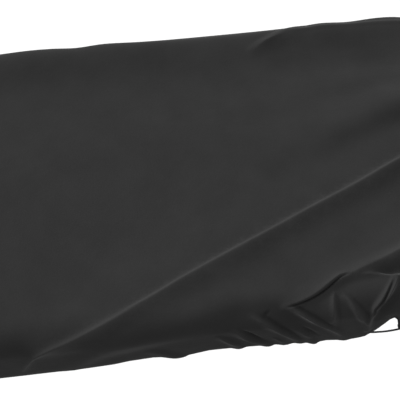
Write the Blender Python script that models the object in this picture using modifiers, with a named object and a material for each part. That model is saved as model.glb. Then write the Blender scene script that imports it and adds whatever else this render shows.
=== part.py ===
"""Fitted dust cover for a 61-key music keyboard, in stretch cloth with an elastic hem.

The cover is cut as one flat sheet, laid over the keyboard and tucked under its lower edge.
Flat places are given as (u, v): u along the keyboard, v from its middle towards the back,
both measured over the cloth. The folds that show stand in one table, in millimetres.
"""
import math

import bmesh
import bpy
import numpy as np
from mathutils import Vector

MM = 0.001
TINY = 1e-9

# The covered shape, outside
LENGTH = 0.950
DEPTH = 0.370
HEIGHT = 0.080
CORNER = 0.050
TOP_ROUND = 0.026
LOW_ROUND = 0.012

# Cloth and hem
CLOTH = 0.002
TUCK = 0.010
HEM_ROLL = 0.0035
HEM_TURN = math.radians(205)
# Share of the tuck and the hem that is left where they hang straight
STRAIGHT = 0.15

# Drawcord, and its route across the notch in the hem, in millimetres
CORD_DIAMETER = 0.002
CORD_STEP = 0.005
CORD_ROUTE = (
    # x, y, z
    (292.3, -178.5, -76.0),
    (297.0, -178.9, -76.8),
    (304.0, -179.1, -77.6),
    (312.0, -179.1, -78.3),
    (320.0, -178.7, -78.6),
    (327.9, -178.0, -78.6),
)

# Mesh spacing
TOP_COLUMNS = 20
TOP_ROWS = 6
CORNER_STEPS = 5
# Rings over the rim, top round, wall, low round, tuck and hem roll
RUN_STEPS = (1, 3, 4, 2, 1, 4)
# Finer mesh near the folds: longest edge as a share of a fold's width, and its least value
SHOWN_EDGES = (0.95, 0.012)
PLAIN_EDGES = (1.9, 0.026)
FINER_PASSES = 4
LINE_STEP = 0.012

# Lengths measured over the cloth, outwards from the corner centres
RIM = CORNER - TOP_ROUND
WALL = HEIGHT - TOP_ROUND - LOW_ROUND
INNER_X = LENGTH / 2 - CORNER
INNER_Y = DEPTH / 2 - CORNER

# Hem along the front: place along the keyboard, how far the cloth is drawn up there,
# and how much of its tuck and of its roll is left, from 0 to 1
HEM_ROWS = (
    # u, lift, tuck, roll
    (-100, -2, 1.0, 1.0),
    (6, -2, 1.0, 1.0),
    (32, 0, 1.0, 1.0),
    (48, 4, 1.0, 1.0),
    (72, 6, 1.0, 1.0),
    (87, 3, 1.0, 1.0),
    (104, 1, 1.0, 1.0),
    (118, 5, 1.0, 1.0),
    (129, 8, 1.0, 1.0),
    (157, 7, 1.0, 1.0),
    (186, 4, 1.0, 1.0),
    (195, 4, 1.0, 1.0),
    (206, -2, 1.0, 1.0),
    (218, 3, 1.0, 1.0),
    (228, 3, 1.0, 1.0),
    (238, -3, 1.0, 1.0),
    (249, -1, 1.0, 1.0),
    (262, -4, 1.0, 1.0),
    (277, -5, 1.0, 1.0),
    (288, -4, 0.7, 0.8),
    (296, 5, 0.2, 0.4),
    (304, 22, 0.0, 0.1),
    (310, 35, 0.0, 0.1),
    (315, 36, 0.0, 0.1),
    (320, 17, 0.0, 0.2),
    (325, 1, 0.3, 0.5),
    (337, -5, 1.0, 1.0),
    (400, -2, 1.0, 1.0),
)

# Between these the rows of the hem are columns of the mesh too
NOTCH = (277, 337)

# Folds, each a line over the flat cloth that runs from its first row to its last.
# A row has the place, the height (negative for a trough), and the widths on its left
# and on its right hand side, all in millimetres.
FOLDS = {
    # u, v, height, left width, right width
    "long ridge": (
        (-60, -250, 0.0, 8, 8),
        (-57, -234, 1.0, 9, 10),
        (-51, -216, 1.6, 11, 13),
        (-42, -199, 2.0, 15, 18),
        (-26, -190, 2.2, 22, 22),
        (-9, -184, 2.6, 34, 26),
        (13, -176.5, 3.0, 50, 30),
        (47, -164.5, 3.6, 66, 30),
        (77, -151.5, 4.4, 76, 29),
        (111, -134.5, 4.8, 84, 28),
        (161, -111.5, 5.0, 92, 27),
        (206, -91.5, 5.2, 95, 26),
        (242, -75, 5.4, 95, 25),
        (295, -51.5, 5.6, 90, 24),
        (347, -26.5, 5.6, 84, 24),
        (430, 12, 0.0, 60, 28),
    ),
    "second ridge": (
        (-16, -253, 0.0, 12, 12),
        (-6, -236, 1.8, 13, 16),
        (9, -216, 3.2, 16, 22),
        (24, -204, 3.8, 20, 26),
        (42, -195, 4.2, 22, 30),
        (61, -187.5, 4.2, 22, 32),
        (81, -182.5, 3.8, 22, 32),
        (106, -175.5, 3.0, 22, 30),
        (131, -167, 2.0, 20, 28),
        (162, -153, 0.0, 18, 24),
    ),
    "upper ridge": (
        (120, 14, 0.0, 60, 60),
        (186, 5, 1.5, 60, 50),
        (218, 7, 3.0, 58, 42),
        (252, 14, 4.8, 56, 35),
        (280, 20, 6.8, 54, 31),
        (309, 29, 8.6, 50, 28),
        (338, 38, 10.2, 46, 26),
        (366, 46, 11.0, 42, 26),
        (430, 63, 0.0, 36, 28),
    ),
    "rear streak": (
        (204, 138, 0.0, 7, 12),
        (219, 148, 2.4, 8, 15),
        (238, 156, 3.4, 9, 18),
        (258, 164, 2.6, 10, 22),
        (283, 171, 0.0, 12, 24),
    ),
    "rear rim": (
        (-425, 150, 0.0, 16, 40),
        (-358, 166, 3.0, 17, 40),
        (-234, 167, 3.6, 17, 42),
        (-141, 167, 2.8, 17, 42),
        (-76, 167, 3.6, 17, 42),
        (-34, 168, 5.0, 18, 42),
        (-5, 168, 4.6, 17, 42),
        (22, 167, 3.0, 16, 42),
        (54, 168, 4.6, 18, 42),
        (96, 167, 3.0, 16, 44),
        (150, 166, 1.4, 16, 44),
        (198, 166, 1.2, 16, 40),
        (246, 167, 2.0, 16, 34),
        (279, 167, 3.6, 16, 30),
        (304, 168, 5.2, 18, 30),
        (335, 167, 3.8, 17, 30),
        (368, 168, 5.2, 18, 30),
        (395, 166, 4.0, 17, 30),
        (424, 150, 0.0, 15, 30),
    ),
    "rear sag": (
        (-410, 98, 0.0, 34, 60),
        (-330, 108, -4.6, 46, 90),
        (-120, 110, -5.6, 48, 98),
        (60, 112, -5.6, 48, 98),
        (150, 113, -5.2, 46, 84),
        (235, 115, -5.0, 42, 62),
        (315, 118, -5.4, 38, 42),
        (385, 120, -5.2, 36, 36),
        (425, 126, 0.0, 34, 34),
    ),
    "lower ridge": (
        (202, -164, 0.0, 14, 9),
        (218, -162, 0.6, 18, 10),
        (237, -159, 1.2, 24, 10),
        (254, -154.5, 2.2, 30, 10),
        (269, -150, 3.4, 32, 11),
        (288, -144, 4.8, 34, 15),
        (306, -138, 5.8, 36, 17),
        (324, -131, 6.4, 38, 18),
        (375, -107, 5.6, 40, 22),
        (428, -83, 0.0, 32, 30),
    ),
    "pocket": (
        (278, -151, 0.0, 6, 5),
        (292, -147, -2.0, 8, 5),
        (304, -150, -3.4, 10, 5),
        (316, -152, -4.0, 12, 6),
        (338, -149, -4.0, 16, 12),
        (379, -138, 0.0, 18, 18),
    ),
    "overlap": (
        (197, -177, 0.0, 10, 6),
        (212, -174, 1.8, 14, 6),
        (238, -165, 2.8, 18, 6),
        (254, -156, 2.8, 18, 6),
        (273, -149, 0.0, 14, 6),
    ),
    "front dent": (
        (127, -183, 0.0, 18, 18),
        (149, -180, -2.0, 22, 20),
        (174, -178, -4.0, 24, 26),
        (196, -182, -5.0, 24, 28),
        (215, -195, -4.0, 18, 20),
        (232, -217, 0.0, 14, 14),
    ),
    "slanting fold": (
        (199, -173, 0.0, 7, 8),
        (212, -180, 2.2, 9, 8),
        (230, -193, 3.0, 10, 9),
        (247, -208, 3.0, 9, 9),
        (262, -235, 1.8, 8, 8),
        (269, -254, 1.0, 8, 8),
    ),
    "upright fold": (
        (251, -226, 0.0, 12, 8),
        (248, -196, 2.0, 16, 9),
        (248, -183, 2.2, 17, 9),
        (251, -163, 0.0, 15, 8),
    ),
    "gathered fold": (
        (257, -170, 0.0, 8, 8),
        (268, -177, 1.4, 10, 9),
        (273, -187, 2.0, 10, 10),
        (282, -203, 2.6, 9, 9),
        (288, -226, 1.6, 8, 8),
    ),
    "pleat": (
        (288, -232, 1.5, 5, 5),
        (286, -203, 2.6, 6, 6),
        (290, -188, 3.6, 6, 6),
        (298, -179, 4.0, 7, 6),
        (310, -165, 3.4, 7, 6),
        (322, -147, 0.0, 6, 7),
    ),
    "pleat hollow": (
        (294, -211, 0.0, 7, 8),
        (298, -192, -4.0, 8, 10),
        (309, -180, -6.0, 9, 12),
        (320, -169, -5.0, 10, 12),
        (335, -156, 0.0, 10, 12),
    ),
    "hem fold 1": ((63, -219, 0.0, 8, 9), (84, -232, 1.8, 10, 11), (104, -256, 2.4, 11, 12)),
    "hem fold 2": ((134, -204, 0.0, 6, 7), (149, -221, 2.2, 8, 8), (166, -255, 1.4, 8, 9)),
    "hem fold 3": ((148, -192, 0.0, 6, 7), (162, -211, 2.6, 8, 8), (183, -232, 2.2, 8, 9),
                   (194, -254, 1.0, 8, 9)),
    "hem fold 4": ((166, -180, 0.0, 7, 7), (183, -192, 2.4, 8, 9), (198, -206, 3.0, 9, 9),
                   (213, -226, 2.8, 9, 9), (228, -254, 1.6, 9, 9)),
    "hem fold 5": ((207, -200, 0.0, 6, 6), (222, -219, 2.2, 7, 8), (237, -254, 2.4, 7, 8)),
    "hem fold 6": ((339, -198, 0.0, 8, 8), (335, -222, 4.0, 9, 9), (340, -264, 3.0, 8, 8)),
    "hem fold 7": ((381, -208, 0.0, 8, 9), (373, -228, 4.0, 9, 10), (362, -254, 3.5, 9, 10)),
}

# Small gathers that the elastic draws at the hem where the photograph does not reach
SIDE_GATHERS = (
    # way outwards in degrees, first place along the side, last place, count
    (270, -0.410, -0.120, 7),
    (90, -0.400, 0.400, 15),
    (180, -0.110, 0.110, 5),
    (0, -0.110, 0.110, 5),
)
CORNER_GATHERS = 4
GATHER_HEIGHT = 3.0
GATHER_LEAN = 0.009
SIDE_GATHER_WIDTH = 11
CORNER_GATHER_WIDTH = 24
GATHER_ROWS = (
    # distance from the corner centres, share of the lean, share of the height
    (0.088, -0.5, 0.0),
    (0.115, 0.2, 1.0),
    (0.139, 0.6, 1.0),
)

CLOTH_COLOUR = (0.0343, 0.0343, 0.0356, 1.0)
CORD_COLOUR = (0.012, 0.012, 0.013, 1.0)


def clear_scene():
    for thing in list(bpy.data.objects):
        bpy.data.objects.remove(thing, do_unlink=True)


def material(name, colour, roughness):
    made = bpy.data.materials.new(name)
    made.use_nodes = True
    shader = made.node_tree.nodes["Principled BSDF"]
    shader.inputs["Base Color"].default_value = colour
    shader.inputs["Roughness"].default_value = roughness
    shader.inputs["Metallic"].default_value = 0.0
    made.diffuse_color = colour
    return made


def smooth_line(rows, step=LINE_STEP):
    """Rows in metres, with rounded corners and points about a step apart."""
    rows = np.array(rows, dtype=float) * MM
    ends = np.vstack((2 * rows[0] - rows[1], rows, 2 * rows[-1] - rows[-2]))
    line = []
    for before, start, end, after in zip(ends, ends[1:], ends[2:], ends[3:]):
        steps = max(1, round(math.dist(start[:2], end[:2]) / step))
        for t in np.arange(steps) / steps:
            line.append(0.5 * (2 * start + (end - before) * t
                               + (2 * before - 5 * start + 4 * end - after) * t ** 2
                               + (3 * start - before - 3 * end + after) * t ** 3))
    line.append(rows[-1])
    return np.array(line)


def distance_to(points, line):
    """For each flat point: how far the line is, on which side, and the line's row there."""
    nearest = np.full(len(points), np.inf)
    on_left = np.zeros(len(points), dtype=bool)
    row = np.zeros((len(points), 3))
    for start, end in zip(line, line[1:]):
        run = end[:2] - start[:2]
        along = np.clip((points - start[:2]) @ run / (run @ run), 0, 1)
        off = points - start[:2] - along[:, None] * run
        far = np.hypot(off[:, 0], off[:, 1])
        closer = far < nearest
        nearest[closer] = far[closer]
        on_left[closer] = (run[0] * off[:, 1] - run[1] * off[:, 0])[closer] > 0
        row[closer] = (start[2:] + along[:, None] * (end - start)[2:])[closer]
    return nearest, on_left, row


def fold_height(points, line):
    """Height of one fold over the flat points, a bell with its own width on each side."""
    far, on_left, row = distance_to(points, line)
    width = np.where(on_left, row[:, 1], row[:, 2])
    reach = np.clip(far / np.maximum(width, MM), 0, 1)
    return row[:, 0] * np.cos(reach * math.pi / 2) ** 2


def outwards_at(degrees):
    return np.array((math.cos(math.radians(degrees)), math.sin(math.radians(degrees))))


def gather(start, degrees, lean, high, width):
    """One gather that runs down from the top's edge to the hem."""
    way = outwards_at(degrees)
    across = outwards_at(degrees + 90)
    rows = []
    for out, lean_share, high_share in GATHER_ROWS:
        u, v = (start + way * out + across * lean * lean_share) / MM
        rows.append((u, v, high * high_share, width, width))
    return smooth_line(rows)


def side_gathers():
    """Gathers along the straight sides, uneven in place, lean and height."""
    lines = []
    for degrees, first, last, count in SIDE_GATHERS:
        way = outwards_at(degrees)
        across = outwards_at(degrees + 90)
        pitch = (last - first) / (count - 1)
        for i in range(count):
            place = first + pitch * (i + 0.3 * math.sin(2.7 * i))
            start = way * (INNER_X, INNER_Y) + across * place
            lean = GATHER_LEAN * math.sin(1.9 * i + 1)
            high = GATHER_HEIGHT * (0.75 + 0.25 * math.sin(3.1 * i))
            lines.append(gather(start, degrees, lean, high, SIDE_GATHER_WIDTH))
    return lines


def corner_gathers():
    """Gathers down the round corners, where the hem is drawn in the most."""
    lines = []
    for corner in range(4):
        start = np.sign(outwards_at(90 * corner + 45)) * (INNER_X, INNER_Y)
        for i in range(CORNER_GATHERS):
            degrees = 90 * (corner + (i + 0.5) / CORNER_GATHERS)
            high = GATHER_HEIGHT * (1 + 0.3 * math.sin(2.3 * i + corner))
            lines.append(gather(start, degrees, 0, high, CORNER_GATHER_WIDTH))
    return lines


def hem_at(points):
    """How far the hem is lifted, tucked and rolled at each flat point."""
    u, lift, tuck, roll = np.array(HEM_ROWS).T
    along = points[:, 0] / MM
    in_front = (points[:, 1] < -INNER_Y) & (np.abs(points[:, 0]) < INNER_X)
    lifted = np.where(in_front, np.interp(along, u, lift), 0) * MM
    tucked = np.where(in_front, np.interp(along, u, tuck), 1)
    rolled = np.where(in_front, np.interp(along, u, roll), 1)
    return lifted, tucked, rolled


def runs(lift, tuck, roll):
    """The straight and turning runs of the cloth from the corner centres to its edge."""
    quarter = math.pi / 2
    whole = np.ones_like(tuck)
    low = STRAIGHT + (1 - STRAIGHT) * tuck
    hem = STRAIGHT + (1 - STRAIGHT) * roll
    hanging = STRAIGHT * (1 - tuck) * (LOW_ROUND * quarter + TUCK)
    return (
        # length, turn
        (RIM * whole, 0 * whole),
        (TOP_ROUND * quarter * whole, quarter * whole),
        (WALL - lift - hanging, 0 * whole),
        (LOW_ROUND * quarter * low, quarter * tuck),
        (TUCK * low, 0 * whole),
        (HEM_ROLL * HEM_TURN * hem, HEM_TURN * roll),
    )


PLAIN_RUNS = runs(np.zeros(1), np.ones(1), np.ones(1))


def walk(points):
    """Follow the cloth from the corner centres out to each point of the plain flat sheet.

    Gives the place over the lifted hem, the place in the round, and the way outwards.
    """
    centre = np.clip(points, (-INNER_X, -INNER_Y), (INNER_X, INNER_Y))
    over = points - centre
    left = np.hypot(over[:, 0], over[:, 1])
    way = over / np.maximum(left, TINY)[:, None]
    gone, out, down, turned = np.zeros((4, len(points)))
    for (plain, _), (length, turn) in zip(PLAIN_RUNS, runs(*hem_at(points))):
        share = np.clip(left / plain, 0, 1)
        left = left - share * plain
        bent = turned + turn * share
        radius = length / np.maximum(turn, TINY)
        level = turn < TINY
        out += np.where(level, share * length * np.cos(turned),
                        radius * (np.sin(bent) - np.sin(turned)))
        down += np.where(level, share * length * np.sin(turned),
                         radius * (np.cos(turned) - np.cos(bent)))
        gone += share * length
        turned = bent
    flat = centre + way * gone[:, None]
    spot = np.column_stack((centre + way * out[:, None], CLOTH - down))
    outwards = np.column_stack((way * np.sin(turned)[:, None], np.cos(turned)))
    return flat, spot, outwards


def flat_sheet():
    """The plain flat sheet: a grid over the top, and rings round it out to the hem."""
    mesh = bmesh.new()
    notch = [row[0] * MM for row in HEM_ROWS if NOTCH[0] <= row[0] <= NOTCH[1]]
    evenly = np.linspace(-INNER_X, INNER_X, TOP_COLUMNS + 1)
    us = sorted(notch + [u for u in evenly if u < notch[0] or u > notch[-1]])
    vs = np.linspace(-INNER_Y, INNER_Y, TOP_ROWS + 1)
    grid = [[mesh.verts.new((u, v, 0)) for v in vs] for u in us]
    for left, right in zip(grid, grid[1:]):
        for i in range(TOP_ROWS):
            mesh.faces.new((left[i], right[i], right[i + 1], left[i + 1]))

    rings = [0.0]
    for (length, _), steps in zip(PLAIN_RUNS, RUN_STEPS):
        rings += [rings[-1] + float(length[0]) * (i + 1) / steps for i in range(steps)]

    sides = (grid[-1], [row[-1] for row in grid[::-1]], grid[0][::-1], [row[0] for row in grid])
    columns = []
    for side, edge in enumerate(sides):
        starts = [(corner, 90 * side) for corner in edge]
        starts += [(edge[-1], 90 * (side + i / CORNER_STEPS)) for i in range(1, CORNER_STEPS)]
        for corner, degrees in starts:
            way = Vector((*outwards_at(degrees), 0))
            columns.append([corner] + [mesh.verts.new(corner.co + way * far)
                                       for far in rings[1:]])
    for this, following in zip(columns, columns[1:] + columns[:1]):
        for i in range(len(rings) - 1):
            corners = (this[i], this[i + 1], following[i + 1], following[i])
            mesh.faces.new(corners if this[i] is not following[i] else corners[:3])
    return mesh


def allowed_edge(points, lengths, lines, share, least):
    """The longest edge that the folds near each flat point allow."""
    allowed = np.full(len(points), np.inf)
    for line in lines:
        far, on_left, row = distance_to(points, line)
        own = np.where(on_left, row[:, 1], row[:, 2])
        narrow = np.minimum(row[:, 1], row[:, 2])
        width = np.where(far < narrow + 0.3 * lengths, narrow, own)
        wanted = np.maximum(share * width, least)
        beyond = (far > width + 0.3 * lengths) | (np.abs(row[:, 0]) < MM)
        allowed = np.minimum(allowed, np.where(beyond, np.inf, wanted))
    return allowed


def refine(mesh, lines, share, least):
    """Halve the edges near the folds until they are short enough."""
    for _ in range(FINER_PASSES):
        ends = np.array([[vert.co[:2] for vert in edge.verts] for edge in mesh.edges])
        lengths = np.array([edge.calc_length() for edge in mesh.edges])
        over_cloth = walk(ends.mean(axis=1))[0]
        long = lengths > allowed_edge(over_cloth, lengths, lines, share, least)
        chosen = [edge for edge, halve in zip(mesh.edges, long) if halve]
        bmesh.ops.subdivide_edges(mesh, edges=chosen, cuts=1, use_grid_fill=True)
        bmesh.ops.triangulate(mesh, faces=[face for face in mesh.faces if len(face.verts) > 4])


def make_cover(collection):
    """The cloth: a flat sheet, laid over the keyboard and given its thickness inwards."""
    shown = [smooth_line(rows) for rows in FOLDS.values()]
    plain = side_gathers() + corner_gathers()
    sheet = flat_sheet()
    refine(sheet, shown, *SHOWN_EDGES)
    refine(sheet, plain, *PLAIN_EDGES)
    flat, spot, outwards = walk(np.array([vert.co[:2] for vert in sheet.verts]))
    raised = sum(fold_height(flat, line) for line in shown + plain)
    for vert, co in zip(sheet.verts, spot + outwards * raised[:, None]):
        vert.co = co
    bmesh.ops.triangulate(sheet, faces=sheet.faces)
    mesh = bpy.data.meshes.new("cover")
    sheet.to_mesh(mesh)
    sheet.free()
    cover = bpy.data.objects.new("cover", mesh)
    collection.objects.link(cover)
    mesh.materials.append(material("stretch_cloth", CLOTH_COLOUR, 0.8))
    mesh.shade_smooth()
    thickness = cover.modifiers.new("cloth", "SOLIDIFY")
    thickness.thickness = CLOTH
    thickness.offset = -1
    return cover


def make_drawcord(collection):
    """The stretch of elastic cord that spans the notch, from hem roll to hem roll."""
    curve = bpy.data.curves.new("drawcord", "CURVE")
    curve.dimensions = "3D"
    curve.bevel_depth = CORD_DIAMETER / 2
    curve.bevel_resolution = 2
    curve.use_fill_caps = True
    route = smooth_line(CORD_ROUTE, CORD_STEP)
    spline = curve.splines.new("POLY")
    spline.points.add(len(route) - 1)
    for point, (x, y, z) in zip(spline.points, route):
        point.co = (x, y, z, 1)
    cord = bpy.data.objects.new("drawcord", curve)
    collection.objects.link(cord)
    curve.materials.append(material("elastic_cord", CORD_COLOUR, 0.6))
    return cord


def main():
    clear_scene()
    parts = bpy.data.collections.new("keyboard_dust_cover")
    bpy.context.scene.collection.children.link(parts)
    make_cover(parts)
    make_drawcord(parts)


main()
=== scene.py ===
"""Looks of the fitted keyboard dust cover: black knitted stretch cloth with an elastic hem.

The cloth is one thin sheet, modelled flat, refined where it creases, and then laid over the
covered shape. Flat places are (u, v): u along the keyboard and v from its middle towards its
back, both measured over the cloth.
"""
import math

import bmesh
import bpy
import numpy as np
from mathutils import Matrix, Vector


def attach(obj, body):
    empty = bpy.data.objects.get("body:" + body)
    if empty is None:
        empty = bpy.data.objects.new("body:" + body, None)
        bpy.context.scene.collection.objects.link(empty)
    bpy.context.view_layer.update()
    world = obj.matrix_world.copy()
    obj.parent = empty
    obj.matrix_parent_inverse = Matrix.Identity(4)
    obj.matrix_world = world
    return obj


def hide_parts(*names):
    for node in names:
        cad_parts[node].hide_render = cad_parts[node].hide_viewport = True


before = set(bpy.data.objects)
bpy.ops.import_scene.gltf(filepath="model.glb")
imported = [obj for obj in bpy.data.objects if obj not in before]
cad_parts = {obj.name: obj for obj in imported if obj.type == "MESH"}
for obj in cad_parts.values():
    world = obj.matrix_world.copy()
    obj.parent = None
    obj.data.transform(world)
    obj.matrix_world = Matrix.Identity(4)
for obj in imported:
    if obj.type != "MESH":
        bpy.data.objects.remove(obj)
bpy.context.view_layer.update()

MM = 0.001
TINY = 1e-9

# Steps of the flat sheet: columns and rows over the top, steps round each corner, and
# rings over the rim, top round, wall, low round, tuck and hem roll
TOP_COLUMNS = 106
TOP_ROWS = 34
CORNER_STEPS = 10
RUN_STEPS = (4, 6, 10, 4, 2, 8)
# Passes of finer mesh: longest edge left, and how far from a line
FOLD_PASSES = ((0.0060, 0.022), (0.0030, 0.012))
CREASE_PASSES = ((0.0030, 0.0075), (0.0016, 0.0040), (0.0009, 0.0021))
# A fold that is mostly wider than this, on both sides, needs no finer mesh
WIDE_FOLD = 0.018
# Points along a fold or a crease lie this far apart
LINE_STEP = 0.006

# Covered shape, outside
LENGTH = 0.950
DEPTH = 0.370
HEIGHT = 0.080
CORNER = 0.050
TOP_ROUND = 0.026
LOW_ROUND = 0.012
TUCK = 0.010
HEM_ROLL = 0.0035
HEM_TURN = math.radians(205)
# Share of the tuck and the hem that is left where they hang straight
STRAIGHT = 0.15

# The outside of the cloth lies this far over the origin, and the cloth is thinner than that
CLOTH_TOP = 0.002
CLOTH_THICK = 0.0008

# Drawcord, and its route across the notch in the hem, in millimetres
CORD_DIAMETER = 0.002
CORD_ROUTE = (
    # x, y, z
    (292.3, -178.5, -76.0),
    (297.0, -178.9, -76.8),
    (304.0, -179.1, -77.6),
    (312.0, -179.1, -78.3),
    (320.0, -178.7, -78.6),
    (327.9, -178.0, -78.6),
)

# Lengths measured over the cloth, outwards from the corner centres
RIM = CORNER - TOP_ROUND
WALL = HEIGHT - TOP_ROUND - LOW_ROUND
INNER_X = LENGTH / 2 - CORNER
INNER_Y = DEPTH / 2 - CORNER

# Hem along the front: place along the keyboard, how far the cloth is drawn up there,
# and how much of its tuck and of its roll is left, from 0 to 1
HEM_ROWS = (
    # u, lift, tuck, roll
    (-100, -2, 1.0, 1.0),
    (6, -2, 1.0, 1.0),
    (32, 0, 1.0, 1.0),
    (48, 4, 1.0, 1.0),
    (72, 6, 1.0, 1.0),
    (87, 3, 1.0, 1.0),
    (104, 1, 1.0, 1.0),
    (118, 5, 1.0, 1.0),
    (129, 8, 1.0, 1.0),
    (157, 7, 1.0, 1.0),
    (186, 4, 1.0, 1.0),
    (195, 4, 1.0, 1.0),
    (206, -2, 1.0, 1.0),
    (218, 3, 1.0, 1.0),
    (228, 3, 1.0, 1.0),
    (238, -3, 1.0, 1.0),
    (249, -1, 1.0, 1.0),
    (262, -4, 1.0, 1.0),
    (277, -5, 1.0, 1.0),
    (288, -4, 0.7, 0.8),
    (296, 5, 0.2, 0.4),
    (304, 22, 0.0, 0.1),
    (310, 35, 0.0, 0.1),
    (315, 36, 0.0, 0.1),
    (320, 17, 0.0, 0.2),
    (325, 1, 0.3, 0.5),
    (337, -5, 1.0, 1.0),
    (400, -2, 1.0, 1.0),
)

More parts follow.
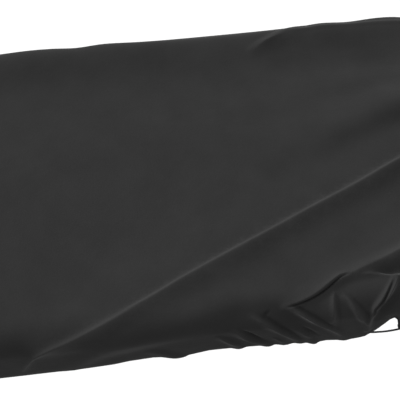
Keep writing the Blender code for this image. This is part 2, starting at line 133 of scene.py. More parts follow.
# Folds, each a line over the flat cloth that runs from its first row to its last.
# A row has the place, the height (negative for a trough), and the widths on its left
# and on its right hand side, all in millimetres.
FOLDS = {
    # u, v, height, left width, right width
    "long ridge": (
        (-60, -250, 0.0, 8, 8),
        (-57, -234, 1.0, 9, 10),
        (-51, -216, 1.6, 11, 13),
        (-42, -199, 2.0, 15, 18),
        (-26, -190, 2.2, 22, 22),
        (-9, -184, 2.6, 34, 26),
        (13, -176.5, 3.0, 50, 30),
        (47, -164.5, 3.6, 66, 30),
        (77, -151.5, 4.4, 76, 29),
        (111, -134.5, 4.8, 84, 28),
        (161, -111.5, 5.0, 92, 27),
        (206, -91.5, 5.2, 95, 26),
        (242, -75, 5.4, 95, 25),
        (295, -51.5, 5.6, 90, 24),
        (347, -26.5, 5.6, 84, 24),
        (430, 12, 0.0, 60, 28),
    ),
    "second ridge": (
        (-16, -253, 0.0, 12, 12),
        (-6, -236, 1.8, 13, 16),
        (9, -216, 3.2, 16, 22),
        (24, -204, 3.8, 20, 26),
        (42, -195, 4.2, 22, 30),
        (61, -187.5, 4.2, 22, 32),
        (81, -182.5, 3.8, 22, 32),
        (106, -175.5, 3.0, 22, 30),
        (131, -167, 2.0, 20, 28),
        (162, -153, 0.0, 18, 24),
    ),
    "upper ridge": (
        (120, 14, 0.0, 60, 60),
        (186, 5, 1.5, 60, 50),
        (218, 7, 3.0, 58, 42),
        (252, 14, 4.8, 56, 35),
        (280, 20, 6.8, 54, 31),
        (309, 29, 8.6, 50, 28),
        (338, 38, 10.2, 46, 26),
        (366, 46, 11.0, 42, 26),
        (430, 63, 0.0, 36, 28),
    ),
    "rear streak": (
        (212, 140, 0.0, 7, 12),
        (226, 149, 2.4, 8, 15),
        (244, 157, 3.4, 9, 18),
        (263, 164, 2.6, 10, 22),
        (287, 171, 0.0, 12, 24),
    ),
    "rear rim": (
        (-425, 150, 0.0, 16, 40),
        (-358, 166, 3.0, 17, 40),
        (-234, 167, 3.6, 17, 42),
        (-141, 167, 2.8, 17, 42),
        (-76, 167, 3.6, 17, 42),
        (-34, 168, 5.0, 18, 42),
        (-5, 168, 4.6, 17, 42),
        (22, 167, 3.0, 16, 42),
        (54, 168, 4.6, 18, 42),
        (96, 167, 3.0, 16, 44),
        (150, 166, 1.4, 16, 44),
        (198, 166, 1.2, 16, 40),
        (246, 167, 2.0, 16, 34),
        (279, 167, 3.6, 16, 30),
        (304, 168, 5.2, 18, 30),
        (335, 167, 3.8, 17, 30),
        (368, 168, 5.2, 18, 30),
        (395, 166, 4.0, 17, 30),
        (424, 150, 0.0, 15, 30),
    ),
    "rear sag": (
        (-410, 98, 0.0, 34, 60),
        (-330, 108, -4.6, 46, 90),
        (-120, 110, -5.6, 48, 98),
        (60, 112, -5.6, 48, 98),
        (150, 113, -5.2, 46, 84),
        (235, 115, -5.0, 42, 62),
        (315, 118, -5.4, 38, 42),
        (385, 120, -5.2, 36, 36),
        (425, 126, 0.0, 34, 34),
    ),
    "lower ridge": (
        (202, -164, 0.0, 14, 9),
        (218, -162, 0.6, 18, 10),
        (237, -159, 1.2, 24, 10),
        (254, -154.5, 2.2, 30, 10),
        (269, -150, 3.4, 32, 11),
        (288, -144, 4.8, 34, 15),
        (306, -138, 5.8, 36, 17),
        (324, -131, 6.4, 38, 18),
        (375, -107, 5.6, 40, 22),
        (428, -83, 0.0, 32, 30),
    ),
    "pocket": (
        (278, -151, 0.0, 6, 5),
        (292, -147, -2.0, 8, 5),
        (304, -150, -3.4, 10, 5),
        (316, -152, -4.0, 12, 6),
        (338, -149, -4.0, 16, 12),
        (379, -138, 0.0, 18, 18),
    ),
    "overlap": (
        (197, -177, 0.0, 10, 6),
        (212, -174, 1.8, 14, 6),
        (238, -165, 2.8, 18, 6),
        (254, -156, 2.8, 18, 6),
        (273, -149, 0.0, 14, 6),
    ),
    "front dent": (
        (127, -183, 0.0, 18, 18),
        (149, -180, -2.0, 22, 20),
        (174, -178, -4.0, 24, 26),
        (196, -182, -5.0, 24, 28),
        (215, -195, -4.0, 18, 20),
        (232, -217, 0.0, 14, 14),
    ),
    "slanting fold": (
        (199, -173, 0.0, 7, 8),
        (212, -180, 2.2, 9, 8),
        (230, -193, 3.0, 10, 9),
        (247, -208, 3.0, 9, 9),
        (262, -235, 1.8, 8, 8),
        (269, -254, 1.0, 8, 8),
    ),
    "upright fold": (
        (251, -226, 0.0, 12, 8),
        (248, -196, 2.0, 16, 9),
        (248, -183, 2.2, 17, 9),
        (251, -163, 0.0, 15, 8),
    ),
    "gathered fold": (
        (257, -170, 0.0, 8, 8),
        (268, -177, 1.4, 10, 9),
        (273, -187, 2.0, 10, 10),
        (282, -203, 2.6, 9, 9),
        (288, -226, 1.6, 8, 8),
    ),
    "pleat": (
        (288, -232, 1.5, 5, 5),
        (286, -203, 2.6, 6, 6),
        (290, -188, 3.6, 6, 6),
        (298, -179, 4.0, 7, 6),
        (310, -165, 3.4, 7, 6),
        (322, -147, 0.0, 6, 7),
    ),
    "pleat hollow": (
        (294, -211, 0.0, 7, 8),
        (298, -192, -4.0, 8, 10),
        (309, -180, -6.0, 9, 12),
        (320, -169, -5.0, 10, 12),
        (335, -156, 0.0, 10, 12),
    ),
    "hem fold 1": ((63, -219, 0.0, 8, 9), (84, -232, 1.8, 10, 11), (104, -256, 2.4, 11, 12)),
    "hem fold 2": ((134, -204, 0.0, 6, 7), (149, -221, 2.2, 8, 8), (166, -255, 1.4, 8, 9)),
    "hem fold 3": ((148, -192, 0.0, 6, 7), (162, -211, 2.6, 8, 8), (183, -232, 2.2, 8, 9),
                   (194, -254, 1.0, 8, 9)),
    "hem fold 4": ((166, -180, 0.0, 7, 7), (183, -192, 2.4, 8, 9), (198, -206, 3.0, 9, 9),
                   (213, -226, 2.8, 9, 9), (228, -254, 1.6, 9, 9)),
    "hem fold 5": ((207, -200, 0.0, 6, 6), (222, -219, 2.2, 7, 8), (237, -254, 2.4, 7, 8)),
    "hem fold 6": ((339, -198, 0.0, 8, 8), (335, -222, 4.0, 9, 9), (340, -264, 3.0, 8, 8)),
    "hem fold 7": ((381, -208, 0.0, 8, 9), (373, -228, 4.0, 9, 10), (362, -254, 3.5, 9, 10)),
}

# Sharp creases, laid out like the folds but only a few millimetres wide
CREASES = {
    # u, v, height, left width, right width
    "long crest": (
        (-57, -234, 0.0, 2, 4),
        (-51, -216, 2.0, 3, 5),
        (-42, -199, 2.6, 3.6, 6),
        (-26, -190, 2.9, 4, 8),
        (-9, -184, 3.0, 4.2, 9),
        (13, -176.5, 3.0, 4.2, 9),
        (47, -164.5, 3.0, 4.2, 9),
        (77, -151.5, 3.1, 4.2, 9),
        (111, -134.5, 3.1, 4.2, 9),
        (161, -111.5, 3.2, 4.2, 9),
        (206, -91.5, 3.1, 4.2, 9),
        (242, -75, 3.2, 4.2, 9),
        (295, -51.5, 3.1, 4.2, 9),
        (347, -26.5, 3.2, 4.2, 9),
        (410, 2.5, 0.0, 4, 8),
    ),
    "rear crest": (
        (258, 163, 0.0, 3, 3),
        (278, 164, 1.2, 3, 3),
        (300, 165, 1.4, 3, 3),
        (324, 165, 1.1, 3, 3),
        (349, 164, 1.4, 3, 3),
        (397, 162, 1.1, 3, 3),
        (419, 161, 0.0, 3, 3),
    ),
    "streak crest": (
        (220, 144, 0.0, 2, 4),
        (232, 151, 0.9, 3, 4),
        (246, 157, 1.1, 3, 4),
        (262, 162.5, 0.0, 3, 4),
    ),
    "overlap lip": (
        (205, -175, 0.0, 4, 1.2),
        (214, -172, 1.0, 5, 1.2),
        (230, -167, 1.4, 6, 1.2),
        (246, -159, 1.5, 6, 1.2),
        (258, -152, 1.4, 6, 1.2),
        (271, -149, 0.0, 4, 1.2),
    ),
    "overlap groove": (
        (203, -176, 0.0, 1.5, 1.5),
        (212, -174.0, -2.0, 1.2, 1.4),
        (230, -169.0, -3.0, 1.2, 1.4),
        (246, -161.3, -3.2, 1.2, 1.4),
        (260, -152.4, -2.6, 1.2, 1.4),
        (271, -150, 0.0, 1.5, 1.5),
    ),
    "fold a": (
        (203, -176, 0.0, 2, 3),
        (212, -180, 1.28, 3, 3),
        (219, -185, 1.6, 3, 3),
        (230, -193, 1.76, 3, 3),
        (245, -205, 1.6, 3, 3),
        (254, -219, 1.44, 3, 3),
        (262, -234, 0.0, 3, 3),
    ),
    "fold b": (
        (249, -200, 0.0, 4, 2.5),
        (249, -190, 1.1, 5, 2.5),
        (249, -179, 1.4, 5, 2.5),
        (250, -170, 1.2, 4, 2.5),
        (252, -162, 0.0, 4, 2.5),
    ),
    "fold c": (
        (257, -168, 0.0, 2, 3),
        (264, -174, 1.0, 3, 3),
        (269, -181, 1.3, 3, 3),
        (273, -189, 1.4, 3, 3),
        (281, -202, 1.2, 3, 3),
        (286, -211, 0.0, 3, 3),
    ),
    "fold d": (
        (264, -176, 0.0, 2, 3),
        (269, -187, 1.2, 3, 3),
        (274, -195, 1.35, 3, 3),
        (281, -211, 0.0, 3, 3),
    ),
    "strap left": (
        (286, -207, 0.0, 2, 3),
        (286, -192, 1.0, 2, 3),
        (289, -185, 1.3, 2, 3),
        (295, -178, 1.3, 2, 3),
        (303, -169, 1.2, 2, 3),
        (312, -155, 0.0, 2, 3),
    ),
    "strap groove": (
        (288, -198, 0.0, 2, 2),
        (290, -187, -2.4, 1.8, 1.8),
        (297, -180, -3.0, 1.8, 1.8),
        (306, -168, -2.8, 1.8, 1.8),
        (314, -158, 0.0, 2, 2),
    ),
    "strap right": (
        (289, -198, 0.0, 3, 1.5),
        (292, -187, 1.8, 3, 1.5),
        (300, -180, 2.2, 3, 1.5),
        (309, -169, 2.0, 3, 1.5),
        (317, -157, 0.0, 3, 1.5),
    ),
    "pocket lip": (
        (278, -152, 0.0, 3, 3),
        (288, -152, 0.9, 3, 3),
        (300, -154, 1.2, 3, 3),
        (316, -155, 1.2, 3, 3),
        (328, -153, 0.0, 3, 3),
    ),
    "lower crest": (
        (250, -156, 0.0, 10, 5),
        (269, -150, 1.8, 12, 6),
        (288, -144, 2.6, 12, 9),
        (306, -138, 2.9, 11, 10),
        (324, -131, 2.9, 10, 10),
        (350, -119, 2.2, 11, 10),
        (400, -96, 0.0, 12, 10),
    ),
    "dark tick": (
        (181, -187, 0.0, 3, 2),
        (184, -181, -1.8, 3, 3),
        (189, -177, 0.0, 3, 3),
    ),
    "hem crease 1": (
        (169, -181, 0.0, 3, 4),
        (178, -188, 1.19, 3, 4),
        (189, -196, 1.53, 3, 4),
        (198, -206, 1.7, 3, 4),
        (209, -220, 1.36, 3, 4),
        (219, -234, 0.0, 3, 4),
    ),
    "hem crease 2": (
        (149, -192, 0.0, 3, 4),
        (157, -201, 1.36, 3, 4),
        (166, -215, 1.7, 3, 4),
        (175, -225, 1.36, 3, 4),
        (185, -234, 0.0, 3, 4),
    ),
    "hem crease 3": (
        (134, -202, 0.0, 3, 4),
        (143, -212, 1.36, 3, 4),
        (153, -224, 1.36, 3, 4),
        (160, -234, 0.0, 3, 4),
    ),
    "hem crease 4": (
        (191, -221, 0.0, 2, 3),
        (198, -230, 1.28, 2, 3),
        (204, -240, 0.0, 2, 3),
    ),
    "hem crease 5": (
        (213, -208, 0.0, 2, 3),
        (224, -220, 1.28, 3, 3),
        (234, -234, 0.0, 2, 3),
    ),
    "hollow a": (
        (208, -172, 0.0, 3, 3),
        (216, -177, -1.6, 3, 3),
        (228, -186, -2.0, 3.5, 3.5),
        (243, -198, -1.8, 3.5, 3.5),
        (254, -212, -1.0, 3, 3),
        (262, -226, 0.0, 3, 3),
    ),
    "hollow b": (
        (254, -166, 0.0, 3, 4),
        (254, -178, -0.9, 3, 5),
        (255, -192, -0.9, 3, 5),
        (257, -206, 0.0, 3, 4),
    ),
    "hollow c": (
        (262, -168, 0.0, 3, 3),
        (270, -174, -0.9, 3, 3),
        (277, -184, -1.1, 3, 3),
        (285, -196, -0.9, 3, 3),
        (290, -206, 0.0, 3, 3),
    ),
    "hollow 1": (
        (175, -179, 0.0, 3, 3),
        (186, -188, -1.5, 3, 3),
        (197, -199, -1.9, 3.5, 3.5),
        (209, -212, -1.7, 3.5, 3.5),
        (222, -232, 0.0, 3, 3),
    ),
    "hollow 2": (
        (155, -192, 0.0, 3, 3),
        (165, -203, -1.5, 3, 3),
        (175, -216, -1.8, 3, 3),
        (190, -234, 0.0, 3, 3),
    ),
    "hollow 5": (
        (219, -206, 0.0, 2.5, 2.5),
        (230, -218, -1.5, 3, 3),
        (240, -232, 0.0, 2.5, 2.5),
    ),
}

# Radius of a crease's tip, and the power that hollows its sides
TIP = 0.0006
CREASE_CURVE = 1.5

# Small gathers that the elastic draws at the hem where the photograph does not reach
SIDE_GATHERS = (
    # way outwards in degrees, first place along the side, last place, count
    (270, -0.410, -0.120, 7),
    (90, -0.400, 0.400, 15),
    (180, -0.110, 0.110, 5),
    (0, -0.110, 0.110, 5),
)
CORNER_GATHERS = 4
# Height in millimetres, and how far a gather leans along its side, in metres
GATHER_HEIGHT = 3.0
GATHER_LEAN = 0.009
# Widths in millimetres
SIDE_GATHER_WIDTH = 11
CORNER_GATHER_WIDTH = 24
# How much the gathers vary in place and height, as shares, and how fast from one to the next
PLACE_VARIES = 0.3
PLACE_BEAT = 2.7
LEAN_BEAT = 1.9
LEAN_START = 1
HEIGHT_VARIES = 0.25
HEIGHT_BEAT = 3.1
CORNER_VARIES = 0.3
CORNER_BEAT = 2.3
GATHER_ROWS = (
    # distance from the corner centres, share of the lean, share of the height
    (0.088, -0.5, 0.0),
    (0.115, 0.2, 1.0),
    (0.139, 0.6, 1.0),
)

# Points along the drawcord lie this far apart
CORD_STEP = 0.002

# Camera: lens in millimetres, the point that it aims at, its direction from there in
# degrees, and its distance
LENS = 85.5
CAMERA_AIM = (0.136, -0.0468, 0.002)
CAMERA_AZIMUTH = -7.07
CAMERA_RISE = 58.2
CAMERA_FAR = 0.9693

# Light, floor, and how bright the room is straight below and straight above
KEY_FROM = (-0.84, 0.38, 0.44)
KEY_STRENGTH = 3.1
KEY_SPREAD = math.radians(14)
ROOM_LOW = 0.17
ROOM_HIGH = 0.95
FLOOR_LEVEL = -1.1
FLOOR_HALF = 12.0
FLOOR_WHITE = 0.9
FLOOR_ROUGH = 0.95

# Noise of the mottled patches: how fast its finer steps fade, and the part of it in use
NOISE_FADE = 0.55
NOISE_LOW = 0.3
NOISE_HIGH = 0.7

# Knitted cloth: its two blacks, and how much of the change between them lies in patches
# and how much in single fibres
JERSEY_DARK = "#282828"
JERSEY_LIGHT = "#2f2f2f"
PATCH_SHARE = 0.6
FIBRE_SHARE = 0.4
JERSEY_ROUGH = (0.84, 0.96)
JERSEY_SPECULAR = 0.05
NAP_SHEEN = 0.12
NAP_ROUGH = 0.4
# The real stitches are about 0.35 mm wide, too fine to draw from a step away, so they are
# drawn three times as large and shallow
STITCH_WIDE = 0.0011
STITCH_HIGH = 0.0009
STITCH_DEEP = 0.00012
STITCH_STRENGTH = 0.35
FIBRES = 0.0016
FIBRES_DEEP = FIBRES / 8
FIBRES_STRENGTH = 0.3
PATCHES = 0.045
SLACK = 0.020
SLACK_DEEP = 0.0004
SLACK_STRENGTH = 0.5
# Painted light and shade in the cloth's colour: height of a crease that gets the full painted
# highlight (a groove gets full painted shade), how soon the painted shade at the hem is full,
# and how much of the base colour is kept in the painted shade and in the painted highlight
FULL_PAINTED_LIGHT_HEIGHT = 0.0036
HEM_PAINTED_SHADE_REACH = 0.015
PAINTED_SHADE_GREY = 0.45
PAINTED_LIGHT_GREY = 1.55

# Braided cord: its two blacks, the width and depth of a strand, and the turns of its two ways
CORD_DARK = "#141415"
CORD_LIGHT = "#26262a"
CORD_ROUGH = (0.5, 0.7)
BRAID = 0.0007
BRAID_DEEP = BRAID / 5
BRAID_STRENGTH = 0.6
BRAID_TURNS = ((0, 0.6, 0.8), (0, -0.6, -0.8))


def smooth_line(rows, step=LINE_STEP):
    """Rows in metres, with rounded corners and points about a step apart."""
    rows = np.array(rows, dtype=float) * MM
    ends = np.vstack((2 * rows[0] - rows[1], rows, 2 * rows[-1] - rows[-2]))
    line = []
    for before, start, end, after in zip(ends, ends[1:], ends[2:], ends[3:]):
        steps = max(1, round(math.dist(start[:2], end[:2]) / step))
        for t in np.arange(steps) / steps:
            line.append(0.5 * (2 * start + (end - before) * t
                               + (2 * before - 5 * start + 4 * end - after) * t ** 2
                               + (3 * start - before - 3 * end + after) * t ** 3))
    line.append(rows[-1])
    return np.array(line)


def distance_to(points, line):
    """For each flat point: how far the line is, on which side, and the line's row there."""
    nearest = np.full(len(points), np.inf)
    on_left = np.zeros(len(points), dtype=bool)
    row = np.zeros((len(points), 3))
    for start, end in zip(line, line[1:]):
        run = end[:2] - start[:2]
        along = np.clip((points - start[:2]) @ run / (run @ run), 0, 1)
        off = points - start[:2] - along[:, None] * run
        far = np.hypot(off[:, 0], off[:, 1])
        closer = far < nearest
        nearest[closer] = far[closer]
        on_left[closer] = (run[0] * off[:, 1] - run[1] * off[:, 0])[closer] > 0
        row[closer] = (start[2:] + along[:, None] * (end - start)[2:])[closer]
    return nearest, on_left, row


def close_to(points, line, reach):
    """The flat points that lie in a box as far as reach around the line."""
    low = line[:, :2].min(axis=0) - reach
    high = line[:, :2].max(axis=0) + reach
    return np.flatnonzero(np.all((points > low) & (points < high), axis=1))


def fold_height(points, line):
    """Height of one fold over the flat points, a bell with its own width on each side."""
    height = np.zeros(len(points))
    chosen = close_to(points, line, line[:, 3:].max())
    far, on_left, row = distance_to(points[chosen], line)
    width = np.where(on_left, row[:, 1], row[:, 2])
    reach = np.clip(far / np.maximum(width, MM), 0, 1)
    height[chosen] = row[:, 0] * np.cos(reach * math.pi / 2) ** 2
    return height


def crease_height(points, line):
    """Height of one sharp crease over the flat points, with a rounded tip."""
    height = np.zeros(len(points))
    chosen = close_to(points, line, line[:, 3:].max() + 2 * TIP)
    far, on_left, row = distance_to(points[chosen], line)
    width = np.maximum(np.where(on_left, row[:, 1], row[:, 2]), MM)
    reach = np.clip((np.hypot(far, TIP) - TIP) / width, 0, 1)
    height[chosen] = row[:, 0] * (1 - reach) ** CREASE_CURVE
    return height


def outwards_at(degrees):
    """Way over the flat cloth, of length one, at so many degrees from u."""
    return np.array((math.cos(math.radians(degrees)), math.sin(math.radians(degrees))))


def gather(start, degrees, lean, high, width):
    """One gather that runs down from the top's edge to the hem."""
    way = outwards_at(degrees)
    across = outwards_at(degrees + 90)
    rows = []
    for out, lean_share, high_share in GATHER_ROWS:
        u, v = (start + way * out + across * lean * lean_share) / MM
        rows.append((u, v, high * high_share, width, width))
    return smooth_line(rows)


def side_gathers():
    """Gathers along the straight sides, uneven in place, lean and height."""
    lines = []
    for degrees, first, last, count in SIDE_GATHERS:
        way = outwards_at(degrees)
        across = outwards_at(degrees + 90)
        pitch = (last - first) / (count - 1)
        for i in range(count):
            place = first + pitch * (i + PLACE_VARIES * math.sin(PLACE_BEAT * i))
            start = way * (INNER_X, INNER_Y) + across * place
            lean = GATHER_LEAN * math.sin(LEAN_BEAT * i + LEAN_START)
            uneven = HEIGHT_VARIES * math.sin(HEIGHT_BEAT * i)
            high = GATHER_HEIGHT * (1 - HEIGHT_VARIES + uneven)
            lines.append(gather(start, degrees, lean, high, SIDE_GATHER_WIDTH))
    return lines


def corner_gathers():
    """Gathers down the round corners, where the hem is drawn in the most."""
    lines = []
    for corner in range(4):
        start = np.sign(outwards_at(90 * corner + 45)) * (INNER_X, INNER_Y)
        for i in range(CORNER_GATHERS):
            degrees = 90 * (corner + (i + 0.5) / CORNER_GATHERS)
            high = GATHER_HEIGHT * (1 + CORNER_VARIES * math.sin(CORNER_BEAT * i + corner))
            lines.append(gather(start, degrees, 0, high, CORNER_GATHER_WIDTH))
    return lines


def hem_at(points):
    """How far the hem is lifted, tucked and rolled at each flat point."""
    u, lift, tuck, roll = np.array(HEM_ROWS).T
    along = points[:, 0] / MM
    in_front = (points[:, 1] < -INNER_Y) & (np.abs(points[:, 0]) < INNER_X)
    lifted = np.where(in_front, np.interp(along, u, lift), 0) * MM
    tucked = np.where(in_front, np.interp(along, u, tuck), 1)
    rolled = np.where(in_front, np.interp(along, u, roll), 1)
    return lifted, tucked, rolled


def runs(lift, tuck, roll):
    """The straight and turning runs of the cloth from the corner centres to its edge."""
    quarter = math.pi / 2
    whole = np.ones_like(tuck)
    low = STRAIGHT + (1 - STRAIGHT) * tuck
    hem = STRAIGHT + (1 - STRAIGHT) * roll
    hanging = STRAIGHT * (1 - tuck) * (LOW_ROUND * quarter + TUCK)
    return (
        # length, turn
        (RIM * whole, 0 * whole),
        (TOP_ROUND * quarter * whole, quarter * whole),
        (WALL - lift - hanging, 0 * whole),
        (LOW_ROUND * quarter * low, quarter * tuck),
        (TUCK * low, 0 * whole),
        (HEM_ROLL * HEM_TURN * hem, HEM_TURN * roll),
    )


PLAIN_RUNS = runs(np.zeros(1), np.ones(1), np.ones(1))


def walk(points):
    """Follow the cloth from the corner centres out to each point of the plain flat sheet.

    Gives the place over the lifted hem, the place in the round, and the way outwards.
    """
    centre = np.clip(points, (-INNER_X, -INNER_Y), (INNER_X, INNER_Y))
    over = points - centre
    left = np.hypot(over[:, 0], over[:, 1])
    way = over / np.maximum(left, TINY)[:, None]
    gone, out, down, turned = np.zeros((4, len(points)))
    for (plain, _), (length, turn) in zip(PLAIN_RUNS, runs(*hem_at(points))):
        share = np.clip(left / plain, 0, 1)
        left = left - share * plain
        bent = turned + turn * share
        radius = length / np.maximum(turn, TINY)
        level = turn < TINY
        out += np.where(level, share * length * np.cos(turned),
                        radius * (np.sin(bent) - np.sin(turned)))
        down += np.where(level, share * length * np.sin(turned),
                         radius * (np.cos(turned) - np.cos(bent)))
        gone += share * length
        turned = bent
    flat = centre + way * gone[:, None]
    spot = np.column_stack((centre + way * out[:, None], CLOTH_TOP - down))
    outwards = np.column_stack((way * np.sin(turned)[:, None], np.cos(turned)))
    return flat, spot, outwards


def flat_sheet():
    """The plain flat sheet: a grid over the top, and rings round it out to the hem."""
    mesh = bmesh.new()
    us = np.linspace(-INNER_X, INNER_X, TOP_COLUMNS + 1)
    vs = np.linspace(-INNER_Y, INNER_Y, TOP_ROWS + 1)
    grid = [[mesh.verts.new((u, v, 0)) for v in vs] for u in us]
    for left, right in zip(grid, grid[1:]):
        for i in range(TOP_ROWS):
            mesh.faces.new((left[i], right[i], right[i + 1], left[i + 1]))

    rings = [0.0]
    for (length, _), steps in zip(PLAIN_RUNS, RUN_STEPS):
        rings += [rings[-1] + float(length[0]) * (i + 1) / steps for i in range(steps)]

    sides = (grid[-1], [row[-1] for row in grid[::-1]], grid[0][::-1], [row[0] for row in grid])
    columns = []
    for side, edge in enumerate(sides):
        starts = [(corner, 90 * side) for corner in edge]
        starts += [(edge[-1], 90 * (side + i / CORNER_STEPS)) for i in range(1, CORNER_STEPS)]
        for corner, degrees in starts:
            way = Vector((*outwards_at(degrees), 0))
            columns.append([corner] + [mesh.verts.new(corner.co + way * far)
                                       for far in rings[1:]])
    for this, following in zip(columns, columns[1:] + columns[:1]):
        for i in range(len(rings) - 1):
            corners = (this[i], this[i + 1], following[i + 1], following[i])
            mesh.faces.new(corners if this[i] is not following[i] else corners[:3])
    return mesh


def refine(mesh, lines, passes):
    """Halve the edges near the lines until they are short enough."""
    for longest, reach in passes:
        edges = [edge for edge in mesh.edges if edge.calc_length() > longest]
        ends = np.array([[vert.co[:2] for vert in edge.verts] for edge in edges])
        over_cloth = walk(ends.mean(axis=1))[0]
        near = np.zeros(len(edges), dtype=bool)
        for line in lines:
            chosen = close_to(over_cloth, line, reach)
            near[chosen] |= distance_to(over_cloth[chosen], line)[0] < reach
        halved = [edge for edge, close in zip(edges, near) if close]
        bmesh.ops.subdivide_edges(mesh, edges=halved, cuts=1, use_grid_fill=True)
        bmesh.ops.triangulate(mesh, faces=[face for face in mesh.faces if len(face.verts) > 4])


def hem_painted_shade_at(points):
    """How far into the hem each flat point is, from 0 to 1, where the cloth's colour is
    darkened as painted shade.
    """
    over = points - np.clip(points, (-INNER_X, -INNER_Y), (INNER_X, INNER_Y))
    beyond = np.hypot(over[:, 0], over[:, 1]) - RIM - TOP_ROUND * math.pi / 2 - WALL
    return np.clip(beyond / HEM_PAINTED_SHADE_REACH, 0, 1)


def make_cover(finish):
    """The cloth: a flat sheet, laid over the covered shape and given its thickness."""
    folds = [smooth_line(rows) for rows in FOLDS.values()]
    creases = [smooth_line(rows) for rows in CREASES.values()]
    gathers = side_gathers() + corner_gathers()
    sheet = flat_sheet()
    narrow = [line for line in folds if np.median(line[:, 3:].min(axis=1)) < WIDE_FOLD]
    refine(sheet, narrow, FOLD_PASSES)
    refine(sheet, creases, CREASE_PASSES)
    uv = sheet.loops.layers.uv.new("flat_cloth")
    for face in sheet.faces:
        for loop in face.loops:
            loop[uv].uv = loop.vert.co[:2]
    laid = np.array([vert.co[:2] for vert in sheet.verts])
    flat, spot, outwards = walk(laid)
    creased = sum(crease_height(flat, line) for line in creases)
    raised = sum(fold_height(flat, line) for line in folds + gathers) + creased
    for vert, co in zip(sheet.verts, spot + outwards * raised[:, None]):
        vert.co = co
    mesh = bpy.data.meshes.new("stretch_cover")
    sheet.to_mesh(mesh)
    sheet.free()
    mesh.shade_smooth()
    # Painted light and shade for the colour: raised creases lighter, grooves and the hem darker
    painted_light_and_shade = mesh.attributes.new("painted_light_and_shade", "FLOAT", "POINT")
    painted_light_and_shade.data.foreach_set("value", np.clip(creased / FULL_PAINTED_LIGHT_HEIGHT, -1, 1) - hem_painted_shade_at(laid))
    cover = bpy.data.objects.new("stretch_cover", mesh)
    bpy.context.scene.collection.objects.link(cover)
    mesh.materials.append(finish)
    thickness = cover.modifiers.new("cloth", "SOLIDIFY")
    thickness.thickness = CLOTH_THICK
    thickness.offset = -1
    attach(cover, "root")
    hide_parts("cover")
    return cover


def make_drawcord(finish):
    """The elastic cord in the hem, where it spans the notch."""
    curve = bpy.data.curves.new("drawcord_elastic", "CURVE")
    curve.dimensions = "3D"
    curve.bevel_depth = CORD_DIAMETER / 2
    curve.bevel_resolution = 4
    curve.use_fill_caps = True
    route = smooth_line(CORD_ROUTE, CORD_STEP)
    spline = curve.splines.new("POLY")
    spline.points.add(len(route) - 1)
    for point, (x, y, z) in zip(spline.points, route):
        point.co = (x, y, z, 1)
    cord = bpy.data.objects.new("drawcord_elastic", curve)
    bpy.context.scene.collection.objects.link(cord)
    curve.materials.append(finish)
    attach(cord, "root")
    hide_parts("drawcord")
    return cord


def linear(colour):
    """Colour as a hexadecimal string, turned linear."""
    parts = [int(colour[i:i + 2], 16) / 255 for i in (1, 3, 5)]
    return (*[c / 12.92 if c <= 0.04045 else ((c + 0.055) / 1.055) ** 2.4 for c in parts], 1)


def add_node(tree, kind, links=(), **settings):
    """Add one shader node with its settings, its set inputs and its linked inputs."""
    made = tree.nodes.new(kind)
    for name, value in settings.items():
        setattr(made, name, value)
    for socket, source in links:
        if hasattr(source, "is_output"):
            tree.links.new(source, made.inputs[socket])
        else:
            made.inputs[socket].default_value = source
    return made


def new_material(name):
    """A new material, its nodes and its shader."""
    made = bpy.data.materials.new(name)
    made.use_nodes = True
    return made, made.node_tree, made.node_tree.nodes["Principled BSDF"]


def wave(tree, place, turn, size):
    """Even ridges across the turned place, this far apart, as a height from 0 to 1."""
    turned = add_node(tree, "ShaderNodeMapping", [("Vector", place), ("Rotation", turn)])
    parts = add_node(tree, "ShaderNodeSeparateXYZ", [("Vector", turned.outputs["Vector"])])
    phase = add_node(tree, "ShaderNodeMath", [(0, parts.outputs["X"]), (1, math.tau / size)],
                     operation="MULTIPLY")
    ridge = add_node(tree, "ShaderNodeMath", [(0, phase.outputs["Value"])], operation="SINE")
    return add_node(tree, "ShaderNodeMapRange", [
        ("Value", ridge.outputs["Value"]), ("From Min", -1.0), ("From Max", 1.0),
        ("To Min", 0.0), ("To Max", 1.0)]).outputs["Result"]


def mottle(tree, place, size, low, high, detail=3.0):
    """Soft uneven patches of about this size, between two values."""
    noise = add_node(tree, "ShaderNodeTexNoise", [
        ("Vector", place), ("Scale", 1 / size), ("Detail", detail),
        ("Roughness", NOISE_FADE)])
    return add_node(tree, "ShaderNodeMapRange", [
        ("Value", noise.outputs["Fac"]), ("From Min", NOISE_LOW), ("From Max", NOISE_HIGH),
        ("To Min", low), ("To Max", high)]).outputs["Result"]


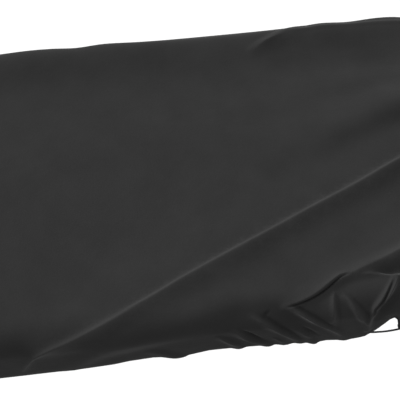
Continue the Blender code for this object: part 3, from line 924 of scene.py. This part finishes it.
def black_jersey_knitted():
    """Matt black stretch jersey: even rows of tiny stitches, with a soft grey nap."""
    made, tree, shader = new_material("black_jersey_knitted")
    flat = add_node(tree, "ShaderNodeUVMap", uv_map="flat_cloth").outputs["UV"]
    # The black is a little uneven, as dye takes, and greyer where the nap stands up
    patches = mottle(tree, flat, PATCHES, 0.0, 1.0)
    fibres = mottle(tree, flat, FIBRES, 0.0, 1.0, 2.0)
    uneven = add_node(tree, "ShaderNodeMath", [(0, patches), (1, PATCH_SHARE), (2, 0.0)],
                      operation="MULTIPLY_ADD").outputs["Value"]
    share = add_node(tree, "ShaderNodeMath", [(0, fibres), (1, FIBRE_SHARE), (2, uneven)],
                     operation="MULTIPLY_ADD").outputs["Value"]
    colour = add_node(tree, "ShaderNodeMix", [
        (0, share), (6, linear(JERSEY_DARK)), (7, linear(JERSEY_LIGHT))], data_type="RGBA")
    # Painted highlight and shade: the colour is made greyer on raised creases and blacker in
    # grooves and in the hem
    painted_light_and_shade = add_node(tree, "ShaderNodeAttribute", attribute_name="painted_light_and_shade").outputs["Fac"]
    grey = add_node(tree, "ShaderNodeMapRange", [
        ("Value", painted_light_and_shade), ("From Min", -1.0), ("From Max", 1.0), ("To Min", PAINTED_SHADE_GREY),
        ("To Max", PAINTED_LIGHT_GREY)]).outputs["Result"]
    painted_shading_colour = add_node(tree, "ShaderNodeHueSaturation", [
        ("Value", grey), ("Color", colour.outputs[2])])
    tree.links.new(painted_shading_colour.outputs["Color"], shader.inputs["Base Color"])
    tree.links.new(mottle(tree, flat, PATCHES, *JERSEY_ROUGH), shader.inputs["Roughness"])
    # Columns and rows of stitches, and the slack of the cloth between them
    columns = wave(tree, flat, (0, 0, 0), STITCH_WIDE)
    rows = wave(tree, flat, (0, 0, math.pi / 2), STITCH_HIGH)
    stitches = add_node(tree, "ShaderNodeMath", [(0, columns), (1, rows)],
                        operation="MULTIPLY").outputs["Value"]
    fine = add_node(tree, "ShaderNodeBump", [
        ("Height", stitches), ("Strength", STITCH_STRENGTH), ("Distance", STITCH_DEEP)])
    fuzz = add_node(tree, "ShaderNodeBump", [
        ("Height", fibres), ("Strength", FIBRES_STRENGTH), ("Distance", FIBRES_DEEP),
        ("Normal", fine.outputs["Normal"])])
    slack = add_node(tree, "ShaderNodeBump", [
        ("Height", mottle(tree, flat, SLACK, 0.0, 1.0)), ("Strength", SLACK_STRENGTH),
        ("Distance", SLACK_DEEP), ("Normal", fuzz.outputs["Normal"])])
    tree.links.new(slack.outputs["Normal"], shader.inputs["Normal"])
    shader.inputs["Specular IOR Level"].default_value = JERSEY_SPECULAR
    shader.inputs["Sheen Weight"].default_value = NAP_SHEEN
    shader.inputs["Sheen Roughness"].default_value = NAP_ROUGH
    shader.inputs["Sheen Tint"].default_value = (1, 1, 1, 1)
    return made


def black_elastic_braided():
    """Round elastic cord in a tight black braid, its strands crossing both ways."""
    made, tree, shader = new_material("black_elastic_braided")
    place = add_node(tree, "ShaderNodeTexCoord").outputs["Object"]
    one_way, other_way = (wave(tree, place, turn, BRAID) for turn in BRAID_TURNS)
    strands = add_node(tree, "ShaderNodeMath", [(0, one_way), (1, other_way)],
                       operation="MAXIMUM").outputs["Value"]
    # Light catches the tops of the strands, and the gaps between them are darker
    colour = add_node(tree, "ShaderNodeMix", [
        (0, strands), (6, linear(CORD_DARK)), (7, linear(CORD_LIGHT))], data_type="RGBA")
    tree.links.new(colour.outputs[2], shader.inputs["Base Color"])
    tree.links.new(mottle(tree, place, BRAID, *CORD_ROUGH), shader.inputs["Roughness"])
    relief = add_node(tree, "ShaderNodeBump", [
        ("Height", strands), ("Strength", BRAID_STRENGTH), ("Distance", BRAID_DEEP)])
    tree.links.new(relief.outputs["Normal"], shader.inputs["Normal"])
    return made


def white_paper_matt():
    """Plain white sweep under the object."""
    made, tree, shader = new_material("white_paper_matt")
    shader.inputs["Base Color"].default_value = (FLOOR_WHITE, FLOOR_WHITE, FLOOR_WHITE, 1)
    shader.inputs["Roughness"].default_value = FLOOR_ROUGH
    return made


def make_camera():
    """A long lens, high in front of the cover and a little left of what it looks at."""
    lens = bpy.data.cameras.new("view")
    lens.lens = LENS
    camera = bpy.data.objects.new("view", lens)
    bpy.context.scene.collection.objects.link(camera)
    turn = math.radians(CAMERA_AZIMUTH)
    rise = math.radians(CAMERA_RISE)
    back = Vector((math.sin(turn) * math.cos(rise), -math.cos(turn) * math.cos(rise),
                   math.sin(rise)))
    camera.location = Vector(CAMERA_AIM) + back * CAMERA_FAR
    camera.rotation_euler = back.to_track_quat("Z", "Y").to_euler()
    bpy.context.scene.camera = camera


def make_lights():
    """A soft lamp low on the left, and a room that is brighter above than below."""
    sun = bpy.data.lights.new("key", "SUN")
    sun.energy = KEY_STRENGTH
    sun.angle = KEY_SPREAD
    key = bpy.data.objects.new("key", sun)
    bpy.context.scene.collection.objects.link(key)
    key.rotation_euler = Vector(KEY_FROM).to_track_quat("Z", "Y").to_euler()
    world = bpy.data.worlds.new("soft_room")
    world.use_nodes = True
    bpy.context.scene.world = world
    tree = world.node_tree
    place = add_node(tree, "ShaderNodeTexCoord")
    parts = add_node(tree, "ShaderNodeSeparateXYZ", [("Vector", place.outputs["Generated"])])
    room = add_node(tree, "ShaderNodeMapRange", [
        ("Value", parts.outputs["Z"]), ("From Min", -1.0), ("From Max", 1.0),
        ("To Min", ROOM_LOW), ("To Max", ROOM_HIGH)])
    glow = tree.nodes["Background"].inputs
    glow["Color"].default_value = (1, 1, 1, 1)
    tree.links.new(room.outputs["Result"], glow["Strength"])


def make_floor(finish):
    """The white sweep, well below the cover, which gives it no light."""
    mesh = bpy.data.meshes.new("floor")
    plane = bmesh.new()
    bmesh.ops.create_grid(plane, x_segments=1, y_segments=1, size=FLOOR_HALF)
    plane.to_mesh(mesh)
    plane.free()
    floor = bpy.data.objects.new("floor", mesh)
    floor.location.z = FLOOR_LEVEL
    bpy.context.scene.collection.objects.link(floor)
    mesh.materials.append(finish)
    floor.visible_diffuse = False
    floor.visible_glossy = False


make_camera()
make_drawcord(black_elastic_braided())
make_cover(black_jersey_knitted())
make_floor(white_paper_matt())
make_lights()
bpy.context.scene.view_settings.view_transform = "Standard"
